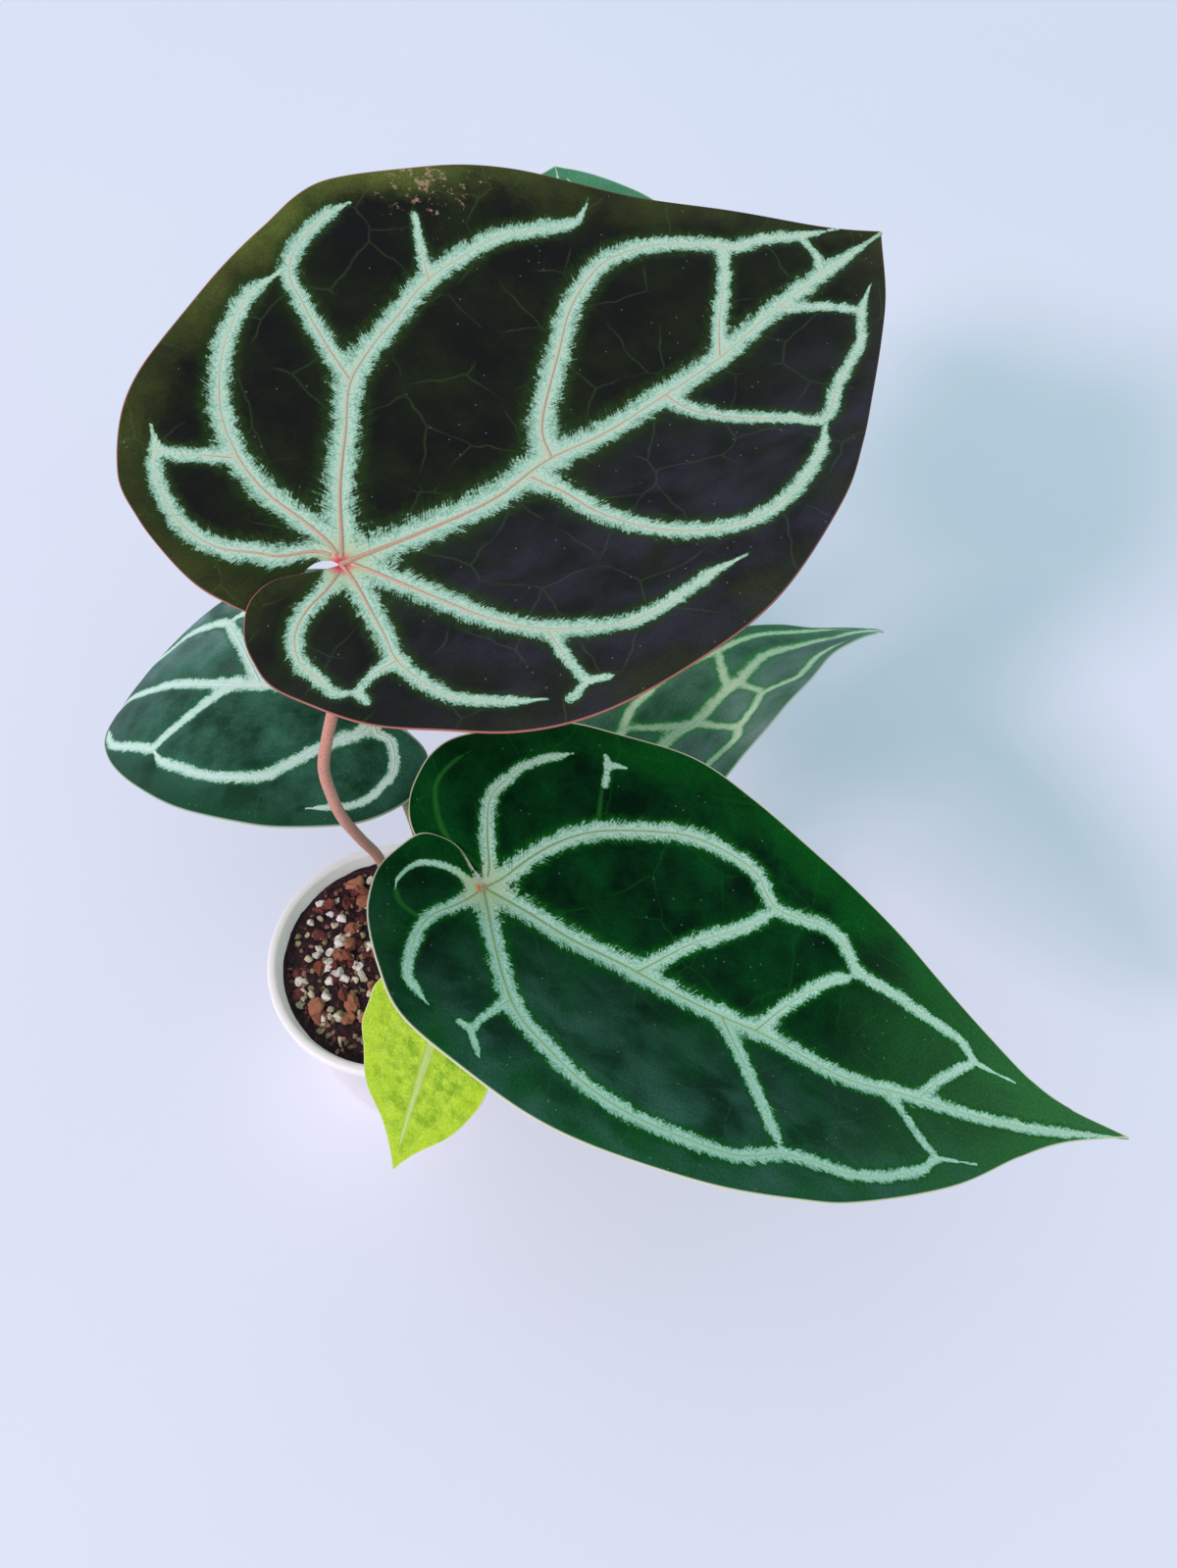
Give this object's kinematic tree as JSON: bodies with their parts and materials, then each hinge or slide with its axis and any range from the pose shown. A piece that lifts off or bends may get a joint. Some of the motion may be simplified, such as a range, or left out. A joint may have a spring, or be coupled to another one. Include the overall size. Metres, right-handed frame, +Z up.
{
  "type": "potted house plant",
  "caption": "Potted velvet-leaved house plant: heart-shaped leaves with pale veins on slim stalks, rising from bark mix in a small round nursery pot.",
  "frame": {"origin": "middle of the pot's flat underside, on the surface it rests on", "axes": "+Z up along the pot's axis; the pictured side faces -Y; the largest leaf points to +X and +Y"},
  "size_m": [0.4001, 0.3899, 0.2949],
  "materials": {
    "frosted_polypropylene": "frosted, slightly see-through",
    "bark_and_pumice": "rough bark chips and pale pumice",
    "stem_bark": "fibrous",
    "leaf_blackish": "velvety, pale mint veins",
    "leaf_emerald": "velvety, pale mint veins",
    "leaf_bluish": "velvety with a grey sheen, mint veins",
    "leaf_lime": "thin, satin",
    "leaf_green": "velvety",
    "petiole_salmon": "satin",
    "petiole_olive": "satin"
  },
  "bodies": {
    "root": {"pot": "frosted_polypropylene", "potting_mix": "bark_and_pumice", "stem": "stem_bark", "leaf_top_dark": "leaf_blackish", "leaf_front_emerald": "leaf_emerald", "leaf_left_lower": "leaf_bluish", "leaf_right_lower": "leaf_bluish", "leaf_young_lime": "leaf_lime", "leaf_back": "leaf_green", "petiole_top_dark": "petiole_salmon", "petiole_front_emerald": "petiole_olive", "petiole_left_lower": "petiole_olive", "petiole_right_lower": "petiole_olive", "petiole_young_lime": "petiole_olive", "petiole_back": "petiole_olive"}
  },
  "joints": []
}
